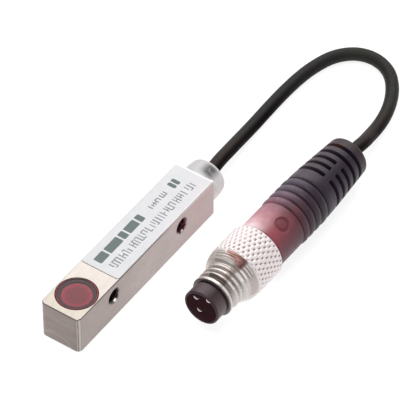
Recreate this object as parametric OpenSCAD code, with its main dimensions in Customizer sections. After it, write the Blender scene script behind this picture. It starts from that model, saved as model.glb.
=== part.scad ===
// Through-beam photoelectric sensor, receiver half, with a short cable and a
// round M8 cable connector.
// Frame: the block lies flat on Z = 0, its long axis is Y, the lens looks up
// (+Z) near the -Y end and the cable leaves at the +Y end. X = 0 is the middle
// of the block, and Y = 0 the middle of block and cable boot together.

/* [Housing block] */
// Width of the block
body_w = 8; // [8:0.1:8.6]
// Length of the block
body_l = 40; // [40:0.5:44]
// Height of the block
body_h = 8; // [8:0.1:8.6]
// Radius of the block's long edges
edge_r = 0.3; // [0.2:0.05:0.4]
// Radius of the upright edges at the block's front
corner_r = 0.95; // [0.6:0.05:1]
// Radius of the upright edges at the block's rear
rear_r = 0.25; // [0.2:0.05:0.6]
// Thickness of the floor under the circuit board
floor_t = 0.9; // [0.8:0.05:1.1]
// Width of the channel for the circuit board
channel_w = 6.2; // [6:0.1:6.4]
// Top of the channel for the circuit board
channel_top = 3.4; // [3.2:0.05:3.5]

/* [Side holes] */
// Tapping hole radius of the M3 side holes
screw_r = 1.25; // [1.2:0.05:1.3]
// Distance between the two side holes
screw_pitch = 20; // [19:0.5:20.5]
// Distance from the front face to the first side hole
screw_front = 10.2; // [10:0.1:10.6]
// Height of the side holes above the base
screw_z = 5.2; // [5.15:0.05:5.4]
// Depth of the countersink at each mouth
screw_sink = 0.4; // [0.2:0.05:0.45]

/* [Optics] */
// Distance from the front face to the optical axis
lens_front = 5; // [4.8:0.1:5.2]
// Radius of the red window
window_r = 3.65; // [3.5:0.05:3.65]
// Thickness of the red window
window_t = 1.1; // [0.9:0.05:1.2]
// Inner radius of the dark ring on the window
ring_in = 2.85; // [2.7:0.05:2.95]
// Outer radius of the dark ring on the window
ring_out = 3.35; // [3.25:0.05:3.4]
// Radius of the condenser lens
cond_r = 2.6; // [2.4:0.05:2.6]

/* [Cable] */
// Outer diameter of the cable
cable_d = 2.5; // [2.3:0.1:2.5]
// Radius of the cable boot outside the block
boot_r = 3.75; // [3.4:0.05:3.75]
// Length of the cable boot outside the block
boot_l = 4; // [3.5:0.1:4]
// Radius of a bared core
core_r = 0.35; // [0.25:0.05:0.4]

/* [Connector] */
// Distance from the middle of the block to the front of the connector
plug_x = 17.68; // [17.3:0.02:18]
// Turn of the connector away from the block's direction
plug_turn = 0.95; // [0:0.05:1.5]
// Radius of the thread, M8x1
thread_r = 4; // [3.9:0.05:4]
// Radius of the knurled screw, which the connector rests on
knurl_r = 5.35; // [5.2:0.05:5.4]
// Radius of the moulded grip
grip_r = 4.75; // [4.6:0.05:4.8]
// Radius of the nose of the contact carrier
nose_r = 3.45; // [3.3:0.05:3.5]
// Direction of the key side, from +X towards +Z
key_angle = 61; // [0:1:180]
// Distance of the pins from the connector's axis
pin_circle = 1.9; // [1.8:0.05:2.05]
// Radius of a pin
pin_r = 0.5; // [0.45:0.05:0.5]

/* [Hidden] */
$fn = 64;
front_y = -(body_l + boot_l) / 2;      // front face of the block
rear_y = front_y + body_l;             // rear face of the block
exit_y = rear_y + boot_l;              // rear face of the boot
lens_y = front_y + lens_front;
board_z = floor_t + 0.6;               // top of the circuit board
hole_y1 = front_y + screw_front;
hole_y2 = hole_y1 + screw_pitch;
chamber_r = 3;                         // light chamber under the window
seat_r = window_r + 0.05;
cable_z = body_h / 2 - 0.2;            // height of the cable's exit
jacket_y = 13;                         // where the jacket ends in the block
cable_r = cable_d / 2;
plug_z = knurl_r;
nose_y = -5.82;                        // front plane of the connector
bore_r = 3.05;                         // bore of the coupling screw
sleeve_r = 3;                          // neck and inner sleeve in that bore

// Stations along the connector, from the front plane of the nose
u_head = 2.7;     // rear shoulder of the nose
u_screw = 3;      // front face of the coupling screw
u_thread = 4.3;   // first full thread
u_cone = 7.3;     // last thread, where the shoulder rises
u_knurl = 9.8;    // front edge of the knurl
u_screw_end = 16.6;
u_grip = 16.9;    // front face of the grip
u_jacket = 26;    // where the jacket ends in the grip
u_end = 44.5;     // rear face of the grip
rib_u = [24.05, 25.8, 27.6, 29.4, 31.3];   // grooves of the bellows
slot_u = [34.4, 36.35, 38.2, 40.1, 42.1];    // slots of the strain relief

// a point on the connector's axis
function on_axis(u) = [plug_x + u * sin(plug_turn), nose_y + u * cos(plug_turn), plug_z];

// Route of the cable, from inside the block to inside the connector
route = [
    [0, jacket_y, cable_z], [0, 18, cable_z], [0, 22, cable_z], [-0.2, 23.6, cable_z],
    [-0.45, 25.2, 3.65], [-0.68, 27, 3.4], [-0.9, 29.07, 3], [-1.22, 31.67, 2.45],
    [-1.52, 34.29, 1.9], [-1.75, 37.01, 1.5], [-1.93, 40.4, 1.25], [-2.06, 45, 1.25],
    [-2.06, 50, 1.25], [-1.74, 54.78, 1.25], [-1.07, 58.37, 1.25], [0.34, 62.12, 1.25],
    [2.97, 64.88, 1.25], [5.8, 65.77, 1.25], [8.6, 65.39, 1.25], [11.03, 64.04, 1.25],
    [12.88, 61.99, 1.25], [14.3, 59.7, 1.25], [15.38, 57.23, 1.25], [16.15, 54.63, 1.25],
    [16.66, 51.92, 1.4], [17.04, 49.32, 1.9], [17.55, 46.8, 2.95], [18.22, 44.25, 4.2],
    on_axis(47.4) - [0, 0, 0.25],
    on_axis(45.5), on_axis(42), on_axis(37), on_axis(31), on_axis(u_jacket)];

// ---- helpers ----

function arc(cx, cy, r, a0, a1, n) =
    [for (i = [0:n]) let (a = a0 + (a1 - a0) * i / n) [cx + r * cos(a), cy + r * sin(a)]];

function soft_rect(x0, y0, x1, y1, r, n = 3) = concat(
    arc(x1 - r, y1 - r, r, 0, 90, n), arc(x0 + r, y1 - r, r, 90, 180, n),
    arc(x0 + r, y0 + r, r, 180, 270, n), arc(x1 - r, y0 + r, r, 270, 360, n));

function unit(v) = v / norm(v);

// direction of the route at point i
function way(p, i) = i == 0 ? unit(p[1] - p[0])
    : i == len(p) - 1 ? unit(p[i] - p[i - 1])
    : unit(p[i + 1] - p[i - 1]);

// a tube swept along a route that never runs along the direction up
module swept(p, r, sides = 8, up = [0, 0, 1]) {
    n = len(p);
    rings = [for (i = [0:n - 1])
        let (t = way(p, i), s = unit(cross(t, up)), u = cross(s, t))
        for (k = [0:sides - 1]) let (a = 360 * k / sides)
            p[i] + r * (cos(a) * s + sin(a) * u)];
    walls = [for (i = [0:n - 2]) for (k = [0:sides - 1])
        let (a = i * sides + k, b = i * sides + (k + 1) % sides)
        [a, b, b + sides, a + sides]];
    first = [for (k = [sides - 1:-1:0]) k];
    last = [for (k = [0:sides - 1]) (n - 1) * sides + k];
    polyhedron(points = rings, faces = concat([first], walls, [last]), convexity = 6);
}

// puts a shape that stands on its own Z axis along +Y, from a given Y
module along_y(y, z, x = 0) translate([x, y, z]) rotate([-90, 0, 0]) children();

// the connector's own frame: local Z runs from the nose to the cable, and
// local -Y is the key side
module plug_frame() translate([plug_x, nose_y, plug_z]) rotate([0, 0, -plug_turn])
    rotate([0, 90 - key_angle, 0]) rotate([-90, 0, 0]) children();

// a small moulded package with bent legs on both sides
module leaded_chip(x, y, w, l, h, legs, leg_pitch) {
    translate([x - w / 2, y - l / 2, board_z + 0.08]) cube([w, l, h]);
    for (i = [0:legs - 1]) for (s = [-1, 1])
        translate([x + (i - (legs - 1) / 2) * leg_pitch - 0.15, y + (s > 0 ? l / 2 - 0.1 : -l / 2 - 0.5), board_z])
            cube([0.3, 0.6, 0.3]);
}

// a chip component with metal end caps, standing on the board
module chip_part(x, y, w, l, h) {
    translate([x - w / 2, y - l / 2, board_z]) cube([w, l, h]);
}

// ---- sensor block ----

module housing() color([0.76, 0.73, 0.70]) difference() {
    intersection() {
        translate([0, rear_y, 0]) rotate([90, 0, 0]) linear_extrude(body_l)
            polygon(soft_rect(-body_w / 2, 0, body_w / 2, body_h, edge_r));
        linear_extrude(body_h)
            polygon(concat(
                arc(body_w / 2 - rear_r, rear_y - rear_r, rear_r, 0, 90, 3),
                arc(-body_w / 2 + rear_r, rear_y - rear_r, rear_r, 90, 180, 3),
                arc(-body_w / 2 + corner_r, front_y + corner_r, corner_r, 180, 270, 6),
                arc(body_w / 2 - corner_r, front_y + corner_r, corner_r, 270, 360, 6)));
        translate([-body_w / 2, 0, 0]) rotate([90, 0, 90]) linear_extrude(body_w)
            polygon(soft_rect(front_y, 0, rear_y, body_h, edge_r));
    }
    // seat of the window and light chamber under it
    translate([0, lens_y, body_h - window_t]) cylinder(r = seat_r, h = window_t + 1);
    translate([0, lens_y, floor_t]) cylinder(r = chamber_r, h = body_h);
    // channel of the circuit board
    translate([-channel_w / 2, lens_y - chamber_r - 0.4, floor_t])
        cube([channel_w, 13.5 - (lens_y - chamber_r - 0.4), channel_top - floor_t]);
    // bore at the rear, for the boot and the cable's cores
    along_y(11, cable_z) cylinder(r = 3, h = rear_y - 11 + 1);
    // side holes, tapped M3 right through
    for (y = [hole_y1, hole_y2]) {
        translate([-body_w / 2 - 1, y, screw_z]) rotate([0, 90, 0])
            cylinder(r = screw_r, h = body_w + 2);
        translate([body_w / 2 - screw_sink, y, screw_z]) rotate([0, 90, 0])
            cylinder(r1 = screw_r, r2 = screw_r + screw_sink + 0.2, h = screw_sink + 0.2);
        translate([-body_w / 2 + screw_sink, y, screw_z]) rotate([0, -90, 0])
            cylinder(r1 = screw_r, r2 = screw_r + screw_sink + 0.2, h = screw_sink + 0.2);
    }
}

// red filter with a groove for the dark ring and a faintly crowned middle
module lens_window() color([0.62, 0.24, 0.27]) translate([0, lens_y, body_h - window_t])
    rotate_extrude() polygon([
        [0, 0], [window_r, 0], [window_r, window_t - 0.1], [window_r - 0.1, window_t],
        [ring_out + 0.02, window_t], [ring_out + 0.02, window_t - 0.5],
        [ring_in - 0.02, window_t - 0.5], [ring_in - 0.02, window_t - 0.25],
        [ring_in - 0.1, window_t - 0.2], [2, window_t - 0.17], [1, window_t - 0.15], [0, window_t - 0.145]]);

module aperture_ring() color([0.27, 0.24, 0.25]) translate([0, lens_y, body_h - 0.5])
    difference() {
        cylinder(r = ring_out, h = 0.44);
        translate([0, 0, -1]) cylinder(r = ring_in, h = 3);
    }

// plano-convex, flat side up against the window
module condenser_lens() color([0.85, 0.9, 0.95]) intersection() {
    translate([0, lens_y, 5.4]) cylinder(r = cond_r, h = 1.45);
    translate([0, lens_y, 5.49 + 4]) sphere(r = 4);
}

// black light tube, standing on the board
module lens_holder() color([0.1, 0.1, 0.11]) translate([0, lens_y, 0]) rotate_extrude()
    polygon([[2.2, board_z], [2.95, board_z], [2.95, 6.85], [2.65, 6.85], [2.65, 6.3],
        [2.5, 6.3], [2.5, 5.2], [2.2, 4.8]]);

module photodiode() color([0.2, 0.18, 0.28]) difference() {
    translate([-1.3, lens_y - 1.3, board_z]) cube([2.6, 2.6, 0.9]);
    translate([-0.9, lens_y - 0.9, board_z + 0.75]) cube([1.8, 1.8, 1]);
}

module circuit_board() color([0.07, 0.33, 0.18]) difference() {
    translate([-2.95, lens_y - 3.1, floor_t]) cube([5.9, 12.6 - (lens_y - 3.1), 0.6]);
    // relief notches in the long edges
    for (s = [-1, 1]) translate([s * 2.95, -3, floor_t - 1]) cylinder(r = 0.4, h = 3);
}

module amplifier_chip() color([0.09, 0.09, 0.1]) leaded_chip(0, -10.5, 3.4, 3, 1, 4, 0.85);
module regulator_chip() color([0.09, 0.09, 0.1]) leaded_chip(-1.2, -4.6, 1.7, 1.5, 0.95, 2, 0.95);
module output_transistor() color([0.09, 0.09, 0.1]) leaded_chip(1.2, 1.2, 1.7, 1.5, 0.95, 2, 0.95);

module protection_diodes() color([0.15, 0.15, 0.17]) for (x = [-1.6, 0.1])
    leaded_chip(x, 6.2, 0.9, 1.5, 0.8, 1, 1);

module chip_resistors() color([0.12, 0.12, 0.14]) {
    for (i = [0:2]) chip_part(0.7 + i * 0.8, -4.7, 0.5, 1, 0.35);
    for (i = [0:2]) chip_part(-2.3 + i * 0.8, 1.2, 0.5, 1, 0.35);
}

module chip_capacitors() color([0.72, 0.58, 0.42]) {
    for (i = [0:1]) chip_part(-1.8 + i * 3.6, -7.1, 0.8, 1.6, 0.8);
    chip_part(2.1, 6.2, 0.8, 1.6, 0.8);
    chip_part(-1.4, 3.8, 1.6, 0.8, 0.8);
}

module status_led() color([0.95, 0.75, 0.2]) {
    translate([-0.8, 11.9, board_z]) cube([1.6, 0.7, 0.25]);
    translate([-0.45, 11.9, board_z + 0.25]) cube([0.9, 0.7, 0.45]);
}

// bared cores, from the jacket's end down to the board
module core_end(x, z, pad_x, pad_y) swept([
    [x, jacket_y, z], [x, jacket_y - 0.5, z],
    [x + (pad_x - x) * 0.15, jacket_y - 0.95, z - 0.2],
    [x + (pad_x - x) * 0.85, pad_y + 0.55, board_z + core_r + 0.2],
    [pad_x, pad_y + 0.1, board_z + core_r + 0.05],
    [pad_x, pad_y - 0.7, board_z + core_r + 0.05]], core_r);
module wire_brown() color([0.36, 0.2, 0.11]) core_end(-0.6, 4, -1.9, 9.6);
module wire_blue() color([0.1, 0.25, 0.65]) core_end(0.6, 4, 1.9, 9.6);
module wire_black() color([0.06, 0.06, 0.06]) core_end(0, 3.1, 0, 9.9);

// crimped on the jacket, inside the boot
module cable_clamp() color([0.8, 0.8, 0.78]) difference() {
    along_y(13.9, cable_z) cylinder(r = 1.57, h = 2.2);
    along_y(13, cable_z) cylinder(r = cable_r + 0.03, h = 5);
}

// frosted exit, with a plug in the block's rear bore
module cable_boot() color([0.86, 0.86, 0.86, 0.6]) along_y(13.5, cable_z) rotate_extrude()
    polygon(concat([[1.62, 0], [2.95, 0], [2.95, rear_y - 13.5], [boot_r, rear_y - 13.5]],
        // slightly domed outside, with a soft rear edge
        [for (i = [0:5]) let (a = 14 * i)
            [boot_r - 0.35 * (1 - cos(a)), exit_y - 13.5 - 2.5 + 2.5 * sin(a)]],
        [[boot_r - 0.5, exit_y - 13.5]],
        [[cable_r, exit_y - 13.5], [cable_r, 2.8], [1.62, 2.8]]));

// adhesive foil
module label() color([0.92, 0.92, 0.94]) translate([0, 0, body_h]) linear_extrude(0.08)
    polygon(soft_rect(-body_w / 2 + 0.15, front_y + 11.6, body_w / 2 - 0.15, rear_y - 0.2, 0.5));

module cable() color([0.1, 0.1, 0.1]) swept(route, cable_r);

// ---- connector ----

// overmoulded grip: smooth front, bellows, taper with strain relief slots
module connector_grip() color([0.24, 0.2, 0.24]) plug_frame() difference() {
    union() {
        rotate_extrude() polygon([
            [0, u_grip], [grip_r - 0.3, u_grip], [grip_r - 0.08, u_grip + 0.08], [grip_r, u_grip + 0.3],
            [grip_r, rib_u[0] - 0.2], [grip_r - 0.3, rib_u[0]],
            for (i = [0:3]) each [
                [grip_r + 0.02, rib_u[i] + 0.2], [grip_r + 0.12, rib_u[i] + 0.65],
                [grip_r + 0.1, rib_u[i + 1] - 0.45], [grip_r, rib_u[i + 1] - 0.2],
                [grip_r - 0.3, rib_u[i + 1]]],
            [grip_r + 0.02, rib_u[4] + 0.2], [grip_r + 0.06, rib_u[4] + 0.7],
            [grip_r, 33], [grip_r - 0.08, 35], [4, u_end - 0.9], [3.9, u_end - 0.35],
            [3.65, u_end], [0, u_end]]);
    }
    // room for the inner sleeve with its collar, the cores and the jacket
    translate([0, 0, u_grip - 1]) cylinder(r = sleeve_r, h = 25 - u_grip);
    translate([0, 0, 18]) cylinder(r = 3.6, h = 2);
    translate([0, 0, 23]) cylinder(r = 2.2, h = u_jacket - 23);
    translate([0, 0, u_jacket - 1]) cylinder(r = cable_r, h = 30);
    // round mark on the key side, with a raised dot in it
    difference() {
        translate([0, -grip_r + 0.3, 20.75]) rotate([90, 0, 0]) cylinder(r = 1.5, h = 1);
        translate([0, -grip_r + 0.1, 20.75]) rotate([-90, 0, 0]) cylinder(r = 0.85, h = 1);
    }
    // slots: three that leave a spine on the key side, two turned a quarter
    for (i = [0:4]) difference() {
        translate([0, 0, slot_u[i] - 0.4]) difference() {
            cylinder(r = 6, h = 0.8);
            translate([0, 0, -1]) cylinder(r = 2.3, h = 3);
        }
        rotate([0, 0, i < 3 ? 0 : 90]) translate([-0.7, -7, slot_u[i] - 1]) cube([1.4, 14, 2]);
    }
}

// moulded sleeve that the screw turns on, closed round the solder joints
module inner_body() color([0.85, 0.85, 0.82]) plug_frame() difference() {
    union() {
        translate([0, 0, 8.5]) cylinder(r = sleeve_r, h = 15.5);
        translate([0, 0, 18]) cylinder(r = 3.6, h = 2);
    }
    translate([0, 0, 8]) cylinder(r = 2.45, h = 17);
}

// cup that stands out of the screw, with a head wider than the screw's bore
module contact_carrier() color([0.14, 0.1, 0.12]) plug_frame() difference() {
    rotate_extrude() polygon(concat(
        [[0, 4.8], [2.65, 4.8], [2.65, 2.5], [3.05, 2.1]],
        arc(3.17, 0.15, 0.12, 180, 270, 3), arc(nose_r - 0.3, 0.3, 0.3, -80, 0, 4),
        [[nose_r, u_head - 0.1], [nose_r - 0.1, u_head], [sleeve_r, u_head],
         [sleeve_r, 8.5], [0, 8.5]]));
    for (a = [90, 180, 270]) translate([pin_circle * cos(a), -pin_circle * sin(a), 0])
        cylinder(r = pin_r, h = 10, $fn = 32);
}

module contact_pins() color([0.85, 0.82, 0.75]) plug_frame()
    for (a = [90, 180, 270]) translate([pin_circle * cos(a), -pin_circle * sin(a), 0]) {
        translate([0, 0, 0.75]) cylinder(r1 = pin_r - 0.22, r2 = pin_r, h = 0.3, $fn = 32);
        translate([0, 0, 1.05]) cylinder(r = pin_r, h = 8.95, $fn = 32);
    }

// bared cores, from the pins back to the jacket's end
module plug_core(a) {
    c = [cos(a), -sin(a), 0];
    plug_frame() swept([
        pin_circle * c + [0, 0, 10], pin_circle * c + [0, 0, 13],
        (pin_circle - 0.15) * c + [0, 0, 14.5], 0.85 * c + [0, 0, 21],
        0.7 * c + [0, 0, 22.5], 0.7 * c + [0, 0, u_jacket]], core_r, 8, [1, 1, 0]);
}
module plug_wire_brown() color([0.36, 0.2, 0.11]) plug_core(90);
module plug_wire_blue() color([0.1, 0.25, 0.65]) plug_core(180);
module plug_wire_black() color([0.06, 0.06, 0.06]) plug_core(270);

// knurled screw with an M8x1 outside thread, free to turn on the sleeve
module coupling_screw() color([0.82, 0.8, 0.78]) plug_frame() rotate_extrude() polygon([
    [bore_r, u_screw], [3.75, u_screw], [3.95, u_screw + 0.2], [3.95, u_screw + 0.7],
    [3.45, u_screw + 0.8], [3.45, u_thread - 0.1], [3.55, u_thread], [thread_r, u_thread],
    [thread_r, u_cone], [4.4, u_cone + 0.1], [4.75, u_cone + 0.6], [4.98, u_cone + 1.1],
    [5.12, u_cone + 1.6], [5.2, u_knurl - 0.1], [knurl_r - 0.1, u_knurl],
    [knurl_r, u_knurl + 0.3], [knurl_r, u_screw_end - 0.4],
    [knurl_r - 0.3, u_screw_end], [bore_r, u_screw_end]]);

housing();
lens_window();
aperture_ring();
condenser_lens();
lens_holder();
photodiode();
circuit_board();
amplifier_chip();
regulator_chip();
output_transistor();
protection_diodes();
chip_resistors();
chip_capacitors();
status_led();
wire_brown();
wire_blue();
wire_black();
cable_clamp();
cable_boot();
label();
cable();
connector_grip();
inner_body();
contact_carrier();
contact_pins();
plug_wire_brown();
plug_wire_blue();
plug_wire_black();
coupling_screw();
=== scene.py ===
import math

import bmesh
import bpy
import numpy as np
from mathutils import Matrix, Vector


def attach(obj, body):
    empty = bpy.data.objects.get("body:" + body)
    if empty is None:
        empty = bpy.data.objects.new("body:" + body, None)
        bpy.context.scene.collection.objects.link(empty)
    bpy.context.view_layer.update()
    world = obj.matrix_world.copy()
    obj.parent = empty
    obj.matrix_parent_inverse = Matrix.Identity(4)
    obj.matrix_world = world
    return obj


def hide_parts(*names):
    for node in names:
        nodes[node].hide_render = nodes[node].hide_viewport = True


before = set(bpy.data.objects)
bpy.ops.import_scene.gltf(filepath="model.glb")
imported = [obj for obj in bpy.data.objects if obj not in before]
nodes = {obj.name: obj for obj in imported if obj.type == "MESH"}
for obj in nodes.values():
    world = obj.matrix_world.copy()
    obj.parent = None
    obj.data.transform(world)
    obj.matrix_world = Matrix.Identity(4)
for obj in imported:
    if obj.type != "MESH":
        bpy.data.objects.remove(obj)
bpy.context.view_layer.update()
MM = 0.001
scene = bpy.context.scene
scene.view_settings.view_transform = "Standard"
scene.view_settings.look = "None"
scene.view_settings.exposure = 0.0
scene.view_settings.gamma = 1.0

# ---------------------------------------------------------------- camera

az, el = math.radians(34.644), math.radians(45.881)
right = Vector((math.cos(az), math.sin(az), 0))
up = Vector((-math.sin(az) * math.sin(el), math.cos(az) * math.sin(el), math.cos(el)))
back = Vector((math.sin(az) * math.cos(el), -math.cos(az) * math.cos(el), math.sin(el)))
cam_data = bpy.data.cameras.new("camera")
cam = bpy.data.objects.new("camera", cam_data)
scene.collection.objects.link(cam)
cam_data.sensor_width = 36
cam_data.lens = 315
cam_data.clip_start, cam_data.clip_end = 0.05, 50
place = (11.0596 * right + 11.2735 * up + 603.643 * back) * MM
cam.matrix_world = Matrix((
    (right.x, up.x, back.x, place.x),
    (right.y, up.y, back.y, place.y),
    (right.z, up.z, back.z, place.z),
    (0, 0, 0, 1)))
scene.camera = cam

# ---------------------------------------------------------------- mesh helpers


def link(name, mesh):
    o = bpy.data.objects.new(name, mesh)
    scene.collection.objects.link(o)
    return o


def raw_mesh(name, verts, faces, matrix=None):
    """A mesh in millimetres, with its normals pointing out."""
    m = bpy.data.meshes.new(name)
    v = np.asarray(verts, float)
    if matrix is not None:
        a = np.array(matrix, float)
        v = v @ a[:3, :3].T + a[:3, 3]
    m.from_pydata([tuple(p) for p in v], [], [tuple(f) for f in faces])
    m.update()
    b = bmesh.new()
    b.from_mesh(m)
    bmesh.ops.recalc_face_normals(b, faces=b.faces)
    b.to_mesh(m)
    b.free()
    return m


def cut(obj, cutters, operation="DIFFERENCE"):
    """Applies exact booleans to obj, one cutter mesh after the other."""
    for c in cutters:
        tool = link("tool", c)
        mod = obj.modifiers.new("cut", "BOOLEAN")
        mod.operation, mod.solver, mod.object = operation, "EXACT", tool
        bpy.context.view_layer.update()
        done = bpy.data.meshes.new_from_object(
            obj.evaluated_get(bpy.context.evaluated_depsgraph_get()))
        obj.modifiers.clear()
        obj.data = done
        bpy.data.objects.remove(tool)


def finish_mesh(obj, sharp=None, weld=0.0):
    """Scales a piece from millimetres to metres and shades it smooth, with edges over the sharp angle kept."""
    b = bmesh.new()
    b.from_mesh(obj.data)
    if weld:
        bmesh.ops.remove_doubles(b, verts=b.verts, dist=weld)
        bmesh.ops.dissolve_degenerate(b, edges=b.edges, dist=weld)
    loose = [v for v in b.verts if not v.link_faces]
    bmesh.ops.delete(b, geom=loose, context="VERTS")
    bmesh.ops.scale(b, vec=(MM, MM, MM), verts=b.verts)
    for f in b.faces:
        f.smooth = True
    if sharp:
        for e in b.edges:
            if len(e.link_faces) == 2 and e.calc_face_angle(0) > math.radians(sharp):
                e.smooth = False
    b.to_mesh(obj.data)
    b.free()
    obj.data.update()


def weighted(obj):
    mod = obj.modifiers.new("normals", "WEIGHTED_NORMAL")
    mod.keep_sharp = True
    mod.weight = 80


def fillets(points, radius, n=4, closed=True):
    """The polygon again, with each corner rounded. radius is one number or one per corner."""
    pts = [np.array(p, float) for p in points]
    k = len(pts)
    rad = [radius] * k if np.isscalar(radius) else list(radius)
    out = []
    for i, p in enumerate(pts):
        if not closed and i in (0, k - 1):
            out.append(tuple(p))
            continue
        a, b = pts[i - 1] - p, pts[(i + 1) % k] - p
        la, lb = np.linalg.norm(a), np.linalg.norm(b)
        a, b = a / la, b / lb
        angle = math.acos(max(-1, min(1, float(a @ b))))
        if rad[i] <= 0 or angle > math.radians(174):
            out.append(tuple(p))
            continue
        d = min(rad[i] / math.tan(angle / 2), 0.45 * la, 0.45 * lb)
        r = d * math.tan(angle / 2)
        mid = a + b
        mid = mid / np.linalg.norm(mid)
        c = p + mid * r / math.sin(angle / 2)
        s, e = p + a * d - c, p + b * d - c
        whole = math.acos(max(-1, min(1, float(s @ e) / (r * r))))
        for j in range(n + 1):
            t = j / n
            q = (math.sin((1 - t) * whole) * s + math.sin(t * whole) * e) / max(math.sin(whole), 1e-9)
            out.append(tuple(c + q))
    return out


def lathe(profile, seg=96, closed=True, start=0.0):
    """Turns (radius, height) points about Z. An open profile starts and ends on the axis."""
    verts, faces, rings = [], [], []
    for r, z in profile:
        if r < 1e-6 and not closed:
            rings.append([len(verts)])
            verts.append((0, 0, z))
        else:
            rings.append(list(range(len(verts), len(verts) + seg)))
            for i in range(seg):
                a = start + 2 * math.pi * i / seg
                verts.append((r * math.cos(a), r * math.sin(a), z))
    pairs = list(zip(rings, rings[1:])) + ([(rings[-1], rings[0])] if closed else [])
    for p, q in pairs:
        for i in range(seg):
            j = (i + 1) % seg
            if len(p) == 1:
                faces.append((p[0], q[i], q[j]))
            elif len(q) == 1:
                faces.append((p[i], q[0], p[j]))
            else:
                faces.append((p[i], q[i], q[j], p[j]))
    return verts, faces


def loft(rings):
    """Joins rings of points, each an array of n points, into one closed surface that runs back to its first ring."""
    n, verts = len(rings[0]), np.concatenate(rings)
    faces, k = [], len(rings)
    for a in range(k):
        b = (a + 1) % k
        for i in range(n):
            j = (i + 1) % n
            faces.append((a * n + i, b * n + i, b * n + j, a * n + j))
    return verts, faces


def smooth(x):
    x = np.clip(x, 0, 1)
    return x * x * (3 - 2 * x)


key = math.radians(61)
turn = math.radians(0.95)
nose_at = (17.68, -5.82, 5.35)
plug = (Matrix.Translation(nose_at) @ Matrix.Rotation(-turn, 4, "Z")
        @ Matrix.Rotation(math.pi / 2 - key, 4, "Y") @ Matrix.Rotation(-math.pi / 2, 4, "X"))


def on_axis(u):
    return (nose_at[0] + u * math.sin(turn), nose_at[1] + u * math.cos(turn), nose_at[2])


def upright(x, y, z):
    return Matrix.Translation((x, y, z))


def along_y(x, y, z):
    return Matrix.Translation((x, y, z)) @ Matrix.Rotation(-math.pi / 2, 4, "X")


# ---------------------------------------------------------------- cable

route = [
    (0, 13, 3.8), (0, 18, 3.8), (0, 22, 3.8), (-0.2, 23.6, 3.8), (-0.45, 25.2, 3.65),
    (-0.68, 27, 3.4), (-0.9, 29.07, 3), (-1.22, 31.67, 2.45), (-1.52, 34.29, 1.9),
    (-1.75, 37.01, 1.5), (-1.93, 40.4, 1.25), (-2.06, 45, 1.25), (-2.06, 50, 1.25),
    (-1.74, 54.78, 1.25), (-1.07, 58.37, 1.25), (0.34, 62.12, 1.25), (2.97, 64.88, 1.25),
    (5.8, 65.77, 1.25), (8.6, 65.39, 1.25), (11.03, 64.04, 1.25), (12.88, 61.99, 1.25),
    (14.3, 59.7, 1.25), (15.38, 57.23, 1.25), (16.15, 54.63, 1.25), (16.66, 51.92, 1.4),
    (17.04, 49.32, 1.9), (17.55, 46.8, 2.95), (18.22, 44.25, 4.2), (18.466, 41.574, 5.1),
    on_axis(45.5), on_axis(42), on_axis(37), on_axis(31), on_axis(26)]


def smooth_route(points, step=0.4):
    """A smooth line through the route's points, never lower than the route itself."""
    p = np.array(points, float)
    t = np.concatenate([[0], np.cumsum(np.linalg.norm(np.diff(p, axis=0), axis=1) ** 0.5)])
    out = []
    for i in range(len(p) - 1):
        h = t[i + 1] - t[i]

        def slope(j):
            if j in (0, len(p) - 1):
                a, b = (0, 1) if j == 0 else (len(p) - 2, len(p) - 1)
                return (p[b] - p[a]) / (t[b] - t[a])
            h0, h1 = t[j] - t[j - 1], t[j + 1] - t[j]
            d0, d1 = (p[j] - p[j - 1]) / h0, (p[j + 1] - p[j]) / h1
            m = (d0 * h1 + d1 * h0) / (h0 + h1)
            if d0[2] * d1[2] <= 0:
                m[2] = 0
            else:
                m[2] = np.sign(m[2]) * min(abs(m[2]), 3 * min(abs(d0[2]), abs(d1[2])))
            return m
        m0, m1 = slope(i) * h, slope(i + 1) * h
        k = max(4, int(np.linalg.norm(p[i + 1] - p[i]) / step))
        for j in range(k):
            s = j / k
            out.append((2 * s**3 - 3 * s**2 + 1) * p[i] + (s**3 - 2 * s**2 + s) * m0
                       + (3 * s**2 - 2 * s**3) * p[i + 1] + (s**3 - s**2) * m1)
    out.append(p[-1])
    line = np.array(out)
    for _ in range(12):
        mid = (line[:-2] + 2 * line[1:-1] + line[2:]) / 4
        line[1:-1] = mid
    line[:, 2] = np.maximum(line[:, 2], 1.25)
    return line


line = smooth_route(route) * MM
curve = bpy.data.curves.new("cable_run", "CURVE")
curve.dimensions = "3D"
spline = curve.splines.new("POLY")
spline.points.add(len(line) - 1)
for q, c in zip(spline.points, line):
    q.co = (c[0], c[1], c[2], 1)
    q.radius = 0.00125
curve.bevel_depth = 1.0
curve.bevel_resolution = 6
curve.use_fill_caps = True
curve.twist_mode = "MINIMUM"
spline.use_smooth = True
cable = bpy.data.objects.new("cable_run", curve)
scene.collection.objects.link(cable)
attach(cable, "sensor")
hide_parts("cable")

# ---------------------------------------------------------------- housing


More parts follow.
